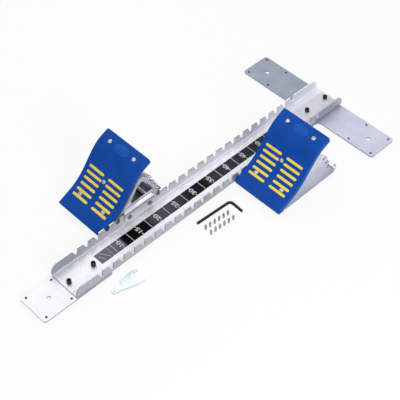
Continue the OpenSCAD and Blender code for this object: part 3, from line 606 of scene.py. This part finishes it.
# Spikes: short turned steel points, screwed up through the ground plates until their
# shanks stand just proud on top.
spike_steel = turned_steel(
    "spike_steel", bright=(0.10, 0.09, 0.09), dull=(0.03, 0.028, 0.028), rough=(0.4, 0.6))
for node in ("front_spikes", "rear_spikes"):
    dress(node, spike_steel)

# Loose tools: a blackened hex key, a pressed flat spanner in bright plate, and
# two rows of spare spikes that stand on their shanks.
dress("hex_key", blackened)
SPANNER_TONES = ((0.52, 0.61, 0.68), (0.72, 0.76, 0.79))
SPANNER_EDGE = ((0.34, 0.38, 0.43), (0.44, 0.48, 0.53))
spanner_chrome = zinc_sheet(
    "spanner_chrome", rough=(0.25, 0.35), along=ACROSS_RAIL,
    flat=(SPANNER_TONES,), upright=(SPANNER_EDGE,))
dress("flat_spanner", spanner_chrome)
spare_steel = turned_steel(
    "spare_spike_steel", bright=(0.52, 0.45, 0.42), dull=(0.26, 0.22, 0.21), rough=(0.25, 0.4))
dress("spare_spikes", spare_steel)

# Base frames: laser-cut side plates, a floor plate and a tie tube, welded and zinc plated.
# The saddle is a bright folded hook over the rail's flange, held by two dark pins. The floor
# plate lies in the shade of the pad, and that shade is painted into its darker colour.
# The outer side plates are painted darker towards the bottom, a painted shade under the pad.
FRAME_SHADED_LOW = ((0.31, 0.33, 0.43), (0.37, 0.39, 0.49))
FRAME_HIGH = ((0.58, 0.59, 0.70), (0.66, 0.67, 0.78))
INNER_CUT = ((0.46, 0.42, 0.40), (0.56, 0.52, 0.50))
# The outer plates' up-facing cut edges and slots are painted near black, a painted shade.
OUTER_CUT_SHADE = ((0.09, 0.09, 0.10), (0.16, 0.16, 0.17))
# The inner side plates are painted darkest at the foot, a painted shadow under the pad.
INNER_SHADED_LOW = ((0.14, 0.15, 0.18), (0.20, 0.21, 0.24))
# The saddle's top is painted lighter than its sides, a painted highlight on the one zinc sheet.
SADDLE_TOP_LIT = ((0.86, 0.86, 0.87), (0.94, 0.94, 0.94))
SADDLE_FACE_SHADED = ((0.58, 0.59, 0.62), (0.70, 0.70, 0.72))
FRAME_LINES = (1.0, 3.0, 3.0)
FRAME_ROUGH = (0.36, 0.48)
outer_zinc = zinc_sheet(
    "outer_side_zinc", FRAME_ROUGH, FRAME_LINES,
    flat=(OUTER_CUT_SHADE,), upright=(FRAME_SHADED_LOW, FRAME_HIGH, ("Z", 5.0, 75.0)))
inner_zinc = zinc_sheet(
    "inner_side_zinc", FRAME_ROUGH, FRAME_LINES,
    flat=(INNER_CUT,), upright=(INNER_SHADED_LOW, FRAME_HIGH, ("Z", 14.0, 36.0)))
saddle_zinc = zinc_sheet(
    "saddle_zinc", rough=(0.2, 0.3), along=ALONG_RAIL, flat=(SADDLE_TOP_LIT,), upright=(SADDLE_FACE_SHADED,))
# The floor plates' dark steel is a painted shade, the shadow under the pad.
shade_steel = turned_steel(
    "painted_shade_steel", bright=(0.11, 0.122, 0.145), dull=(0.06, 0.068, 0.084), rough=(0.3, 0.45))
pin_steel = turned_steel(
    "notch_pin_steel", bright=(0.26, 0.31, 0.36), dull=(0.11, 0.14, 0.17), rough=(0.22, 0.4))
for side in ("left", "right"):
    dress(f"{side}_inner_side", inner_zinc)
    dress(f"{side}_outer_side", outer_zinc)
    dress(f"{side}_floor_plate", shade_steel)
    dress(f"{side}_saddle", saddle_zinc)
    dress(f"{side}_notch_pins", pin_steel)
    for part in ("tie_tube", "pivot_rod", "pivot_nut"):
        dress(f"{side}_{part}", small_zinc)

# Pedals: a curved steel plate with lugs turns on the pivot rod and carries the foot pad.
# The prop hangs from its hinge pin, and the polished prop rod drops into the side plates.
PEDAL_TONES = ((0.50, 0.51, 0.56), (0.60, 0.61, 0.66))
pedal_zinc = zinc_sheet(
    "pedal_zinc", rough=(0.28, 0.42), along=ACROSS_RAIL, flat=(PEDAL_TONES,))
rod_chrome = turned_steel(
    "rod_chrome", bright=(0.78, 0.79, 0.81), dull=(0.62, 0.63, 0.65), rough=(0.12, 0.24))
for side in ("left", "right"):
    for part in ("pedal_plate", "prop"):
        dress(f"{side}_{part}", pedal_zinc)
    for part in ("pad_nuts", "hinge_pin", "hinge_clips", "rod_collars"):
        dress(f"{side}_{part}", small_zinc)
    dress(f"{side}_prop_rod", rod_chrome)

# Foot pads: moulded blue rubber, hollow where the sole rests and rounded over at the top,
# with softly rounded edges. Each is screwed to its pedal plate.
PAD_WIDTH = 123.0
PAD_THICK = 12.0
PAD_LOW_Z = 21.5
LOW_LEAN = math.radians(27.0)
MID_LEAN = math.radians(53.5)
HIGH_LEAN = math.radians(24.0)
LOW_RUN = 33.0
LOW_BEND = 115.0
MID_RUN = 43.0
HIGH_BEND = 85.0
HIGH_RUN = 14.0
PAD_TOP_CORNER = 4.0
PAD_LOW_CORNER = 3.0
PAD_EDGE = 1.5
PAD_CELL = 2.4
EDGE_STEPS = 5
PAD_LOW_ROWS = [0.0, 0.1, 0.4, 0.9, 1.5, 2.0]
PAD_LOW_GAP = 0.2
PAD_TOP_GAP = 0.05
BACK_ROUNDING = 0.5
BLUE = (0.001, 0.071, 0.40)
BLUE_DEEP = (0.0005, 0.059, 0.338)

s_low = LOW_RUN
s_mid = s_low + LOW_BEND * (MID_LEAN - LOW_LEAN)
s_high = s_mid + MID_RUN
s_top = s_high + HIGH_BEND * (MID_LEAN - HIGH_LEAN)
PAD_LENGTH = s_top + HIGH_RUN


def lean(s):
    """Lean of the pad's face at a distance s up from its lower edge."""
    if s <= s_low:
        return LOW_LEAN
    if s <= s_mid:
        return LOW_LEAN + (s - s_low) / LOW_BEND
    if s <= s_high:
        return MID_LEAN
    if s <= s_top:
        return MID_LEAN - (s - s_high) / HIGH_BEND
    return HIGH_LEAN


def along(a):
    """Up the face, where it leans by an angle a."""
    return Vector((math.cos(a), math.sin(a)))


def inward(a):
    """Into the pad, where its face leans by an angle a."""
    return Vector((math.sin(a), -math.cos(a)))


face_low = along(LOW_LEAN) * LOW_RUN
face_mid = face_low + (inward(MID_LEAN) - inward(LOW_LEAN)) * LOW_BEND
face_high = face_mid + along(MID_LEAN) * MID_RUN
face_top = face_high - (inward(HIGH_LEAN) - inward(MID_LEAN)) * HIGH_BEND


def face(s):
    """Side view of the pad's face: distance back from its lower edge, and height."""
    if s <= s_low:
        spot = along(LOW_LEAN) * s
    elif s <= s_mid:
        spot = face_low + (inward(lean(s)) - inward(LOW_LEAN)) * LOW_BEND
    elif s <= s_high:
        spot = face_mid + along(MID_LEAN) * (s - s_mid)
    elif s <= s_top:
        spot = face_high - (inward(lean(s)) - inward(MID_LEAN)) * HIGH_BEND
    else:
        spot = face_top + along(HIGH_LEAN) * (s - s_top)
    return spot + Vector((0.0, PAD_LOW_Z))


pad_start = {}
for side in ("left", "right"):
    low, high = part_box(f"{side}_pad")
    pad_start[side] = Vector(((low.x + high.x) / 2, low.y, 0.0))


def on_pad(side, x, s, depth):
    """A point of a pad, from its middle, up its face and into its thickness, in metres."""
    spot = face(s) + inward(lean(s)) * depth
    return pad_start[side] + Vector((x, spot.x, spot.y)) * MM


def corner_near(s):
    """Radius of the outline's corners at the end of the pad that s is nearer to."""
    return PAD_TOP_CORNER if s > PAD_LENGTH / 2 else PAD_LOW_CORNER


def from_edge(x, s):
    """How far a point of the face lies inside the pad's rounded outline."""
    corner = corner_near(s)
    far_x = abs(x) - (PAD_WIDTH / 2 - corner)
    far_s = abs(s - PAD_LENGTH / 2) - (PAD_LENGTH / 2 - corner)
    outside = math.hypot(max(far_x, 0.0), max(far_s, 0.0))
    return corner - outside - min(max(far_x, far_s), 0.0)


def rounded(inside, radius):
    """How far a rounded edge has fallen away at a point so far inside it."""
    if inside >= radius:
        return 0.0
    return radius - math.sqrt(max(radius ** 2 - (radius - max(inside, 0.0)) ** 2, 0.0))


def spread(length, edge):
    """Places across a length, close together in its rounded edges."""
    close = [edge * (1 - math.cos(i * math.pi / (2 * EDGE_STEPS))) for i in range(EDGE_STEPS + 1)]
    steps = max(2, round((length - 2 * edge) / PAD_CELL))
    middle = [edge + (length - 2 * edge) * i / steps for i in range(1, steps)]
    return close + middle + [length - place for place in reversed(close)]


def half_width(s):
    """Half the pad's width at s, drawn in at the rounded corners."""
    corner = corner_near(s)
    into = corner - min(s, PAD_LENGTH - s)
    if into <= 0:
        return PAD_WIDTH / 2
    return PAD_WIDTH / 2 - corner + math.sqrt(max(corner ** 2 - into ** 2, 0.0))


def make_pad(side):
    """The rubber pad as one closed skin: face, edges and back."""
    bm = bmesh.new()
    low_end = PAD_LOW_ROWS[-1] + PAD_LOW_GAP
    top_end = PAD_LENGTH - PAD_TOP_GAP
    upper_rows = [s for s in spread(PAD_LENGTH, PAD_TOP_CORNER) if low_end < s < top_end]
    rows = PAD_LOW_ROWS + upper_rows + [PAD_LENGTH]
    columns = [place / PAD_WIDTH * 2 - 1 for place in spread(PAD_WIDTH, PAD_EDGE)]
    front = []
    rear = []
    for sheet in (front, rear):
        for s in rows:
            line = []
            for u in columns:
                x = u * half_width(s)
                fall = rounded(from_edge(x, s), PAD_EDGE)
                depth = fall if sheet is front else PAD_THICK - BACK_ROUNDING * fall
                line.append(bm.verts.new(on_pad(side, x, s, depth)))
            sheet.append(line)
    for i in range(len(rows) - 1):
        for j in range(len(columns) - 1):
            bm.faces.new((front[i][j], front[i][j + 1], front[i + 1][j + 1], front[i + 1][j]))
            bm.faces.new((rear[i][j], rear[i + 1][j], rear[i + 1][j + 1], rear[i][j + 1]))
    for j in range(len(columns) - 1):
        bm.faces.new((front[0][j + 1], front[0][j], rear[0][j], rear[0][j + 1]))
        bm.faces.new((front[-1][j], front[-1][j + 1], rear[-1][j + 1], rear[-1][j]))
    for i in range(len(rows) - 1):
        bm.faces.new((front[i][0], front[i + 1][0], rear[i + 1][0], rear[i][0]))
        bm.faces.new((front[i + 1][-1], front[i][-1], rear[i][-1], rear[i + 1][-1]))
    bmesh.ops.remove_doubles(bm, verts=bm.verts, dist=0.01 * MM)
    mesh = close_mesh(bm, f"{side}_pad_skin")
    for polygon in mesh.polygons:
        polygon.use_smooth = True
    return mesh


def moulded_rubber(name, shine, deep, bright, clouds, pores, rough, height, strength):
    """Moulded rubber: clouded colour, and pores that roughen it. Clouds and pores each
    say how many spots there are to the metre, and how fine their detail is."""
    material, shader, place = start_material(name, 0.0, 0.5)
    links = material.node_tree.links
    shader.inputs["Specular IOR Level"].default_value = shine
    cloud = grain(material, place, *clouds)
    pore = grain(material, place, *pores)
    links.new(between(material, cloud, deep, bright), shader.inputs["Base Color"])
    links.new(between(material, pore, *rough), shader.inputs["Roughness"])
    raise_surface(material, shader, pore, height, strength=strength)
    return material


blue_rubber = moulded_rubber(
    "blue_rubber", shine=0.15, deep=BLUE_DEEP, bright=BLUE, clouds=(22.0, 4.0),
    pores=(900.0, 3.0), rough=(0.46, 0.6), height=0.12, strength=0.5)
for side in ("left", "right"):
    pad = add_mesh(f"{side}_pad_skin", make_pad(side), blue_rubber)
    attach(pad, f"{side}_pedal")
    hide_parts(f"{side}_pad")

# Badge field: a bare, slightly domed oval with a sunk rim, moulded into the blue rubber
# between the two upper screws.
OVAL_PLACE = 166.6
OVAL_HALF = (20.5, 11.5)
# Share of the half sizes, and height over the pad's face.
OVAL_RINGS = ((0.3, 1.0), (0.6, 0.95), (0.8, 0.8), (0.88, 0.35), (0.94, 0.75), (1.0, -0.4))
OVAL_MIDDLE = 1.0
OVAL_TURNS = 40
OVAL_BLUE = (0.001, 0.097, 0.455)
OVAL_DEEP = (0.0006, 0.077, 0.395)
oval_rubber = moulded_rubber(
    "oval_rubber", shine=0.2, deep=OVAL_DEEP, bright=OVAL_BLUE, clouds=(260.0, 2.0),
    pores=(260.0, 2.0), rough=(0.4, 0.55), height=0.1, strength=0.5)
for side in ("left", "right"):
    bm = bmesh.new()
    middle = bm.verts.new(on_pad(side, 0.0, OVAL_PLACE, -OVAL_MIDDLE))
    loops = []
    for share, height in OVAL_RINGS:
        loop = []
        for i in range(OVAL_TURNS):
            a = 2 * math.pi * i / OVAL_TURNS
            x = share * OVAL_HALF[0] * math.cos(a)
            s = OVAL_PLACE + share * OVAL_HALF[1] * math.sin(a)
            loop.append(bm.verts.new(on_pad(side, x, s, -height)))
        loops.append(loop)
    for i in range(OVAL_TURNS):
        k = (i + 1) % OVAL_TURNS
        bm.faces.new((middle, loops[0][i], loops[0][k]))
        for inner, outer in zip(loops, loops[1:]):
            bm.faces.new((inner[i], outer[i], outer[k], inner[k]))
    bm.faces.new(list(reversed(loops[-1])))
    oval_mesh = close_mesh(bm, f"{side}_badge_field")
    for polygon in oval_mesh.polygons:
        polygon.use_smooth = len(polygon.vertices) < 5
    badge = add_mesh(f"{side}_badge_field", oval_mesh, oval_rubber)
    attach(badge, f"{side}_pedal")

# Grip bars: soft yellow rubber strips moulded into slots of the pad, in two columns,
# with a flush washer between the two lowest bars of each column round a lower screw.
BAR_ROWS = 6
BAR_START = 35.1
BAR_PITCH = 13.56
BAR_LENGTH = 43.0
BAR_WIDTH = 6.0
BAR_SPLIT = 13.8
BAR_RISE = 1.4
BAR_SINK = 2.0
# How far the rounded top is drawn in, as a share of half the width, and share of the rise.
BAR_ROUNDING = ((0.0, 0.45), (0.14, 0.75), (0.34, 0.94), (0.62, 1.0))
BAR_TURNS = 20
WASHER_RADIUS = 4.8
WASHER_RISE = 0.15
SCREW_X = 35.0
SCREW_LOW = 41.9
YELLOW = (0.96, 0.74, 0.125)
YELLOW_DEEP = (0.90, 0.66, 0.09)


def raised_strip(bm, side, x, s, half, width, rise):
    """A round-ended strip that follows the pad's face, its top rounded over."""
    rings = [(0.0, -BAR_SINK)] + [(inset, rise * share) for inset, share in BAR_ROUNDING]
    loops = []
    for inset, height in rings:
        radius = width / 2 * (1 - inset)
        loop = []
        for i in range(BAR_TURNS):
            a = 2 * math.pi * (i + 0.5) / BAR_TURNS
            end = half if math.cos(a) > 0 else -half
            spot = on_pad(side, x + end + radius * math.cos(a), s + radius * math.sin(a), -height)
            loop.append(bm.verts.new(spot))
        loops.append(loop)
    for lower, upper in zip(loops, loops[1:]):
        for i in range(BAR_TURNS):
            k = (i + 1) % BAR_TURNS
            bm.faces.new((lower[i], lower[k], upper[k], upper[i]))
    bm.faces.new(loops[-1])
    bm.faces.new(list(reversed(loops[0])))


yellow_rubber = moulded_rubber(
    "yellow_rubber", shine=0.2, deep=YELLOW_DEEP, bright=YELLOW, clouds=(90.0, 4.0),
    pores=(1100.0, 2.0), rough=(0.44, 0.6), height=0.08, strength=0.4)
for side in ("left", "right"):
    bm = bmesh.new()
    for row in range(BAR_ROWS):
        for column in (-1, 1):
            middle = column * (BAR_SPLIT + BAR_LENGTH) / 2
            place = BAR_START + row * BAR_PITCH
            half = (BAR_LENGTH - BAR_WIDTH) / 2
            raised_strip(bm, side, middle, place, half, BAR_WIDTH, BAR_RISE)
    for column in (-1, 1):
        raised_strip(bm, side, column * SCREW_X, SCREW_LOW, 0.0, 2 * WASHER_RADIUS, WASHER_RISE)
    bars_mesh = close_mesh(bm, f"{side}_grip_strips")
    for polygon in bars_mesh.polygons:
        polygon.use_smooth = len(polygon.vertices) == 4
    bars = add_mesh(f"{side}_grip_strips", bars_mesh, yellow_rubber)
    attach(bars, f"{side}_pedal")
    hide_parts(f"{side}_grip_bars")

# Pad screws: bright zinc pan heads with a cross recess, through pad and pedal plate. The
# two in the yellow washers have smaller heads.
SCREW_HIGH = 167.3
SCREW_MID = 92.5
HEAD_RADIUS = 4.6
LOW_HEAD_RADIUS = 3.8
HEAD_HEIGHT = 2.0
# Share of the head's radius, and share of its height.
HEAD_ROUNDING = ((1.0, 0.0), (1.0, 0.4), (0.93, 0.75), (0.78, 0.95))
HEAD_TURNS = 16
SHANK_RADIUS = 2.5
SHANK_LENGTH = 19.4
RECESS_SHARE = 0.68
RECESS_WIDTH = 0.75
RECESS_DEPTH = 1.6
RECESS_TAPER = 0.7
RECESS_CORNER = 1.6
screw_zinc = turned_steel(
    "screw_zinc", bright=(0.62, 0.63, 0.63), dull=(0.34, 0.35, 0.35), rough=(0.22, 0.36), edge=0.15)


def round_ring(radius):
    """The points of a round turn of a screw."""
    angles = [2 * math.pi * (i - 0.5) / HEAD_TURNS for i in range(HEAD_TURNS)]
    return [(radius * math.cos(a), radius * math.sin(a)) for a in angles]


def cross_ring(radius):
    """The points of the cross cut into a screw's head, as many as in a round turn."""
    w = RECESS_WIDTH
    corner = RECESS_WIDTH * RECESS_CORNER
    points = []
    for quarter in range(4):
        c = math.cos(quarter * math.pi / 2)
        s = math.sin(quarter * math.pi / 2)
        for x, y in ((radius, -w), (radius, w), (corner, corner), (w, radius)):
            points.append((x * c - y * s, x * s + y * c))
    return points


def pan_head(bm, side, x, s, head):
    """One screw: shank, rounded head and its cross recess."""
    middle = on_pad(side, x, s, 0.0)
    out = (on_pad(side, x, s, -1.0) - middle).normalized()
    across = Vector((1.0, 0.0, 0.0))
    slope = out.cross(across)
    recess = head * RECESS_SHARE
    rings = [(round_ring(SHANK_RADIUS), -SHANK_LENGTH), (round_ring(SHANK_RADIUS), 0.0)]
    rings += [(round_ring(head * share), HEAD_HEIGHT * rise) for share, rise in HEAD_ROUNDING]
    rings += [(cross_ring(recess), HEAD_HEIGHT)]
    rings += [(cross_ring(recess * RECESS_TAPER), HEAD_HEIGHT - RECESS_DEPTH)]
    loops = []
    for ring, height in rings:
        spots = [middle + (across * a + slope * b + out * height) * MM for a, b in ring]
        loops.append([bm.verts.new(spot) for spot in spots])
    for lower, upper in zip(loops, loops[1:]):
        for i in range(HEAD_TURNS):
            k = (i + 1) % HEAD_TURNS
            bm.faces.new((lower[i], lower[k], upper[k], upper[i]))
    bm.faces.new(loops[-1])
    bm.faces.new(list(reversed(loops[0])))


for side in ("left", "right"):
    bm = bmesh.new()
    for x in (-SCREW_X, SCREW_X):
        pan_head(bm, side, x, SCREW_HIGH, HEAD_RADIUS)
        pan_head(bm, side, x, SCREW_LOW, LOW_HEAD_RADIUS)
    pan_head(bm, side, 0.0, SCREW_MID, HEAD_RADIUS)
    screws = add_mesh(f"{side}_pan_heads", close_mesh(bm, f"{side}_pan_heads"), screw_zinc)
    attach(screws, f"{side}_pedal")
    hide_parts(f"{side}_pad_screws")

bpy.context.view_layer.update()
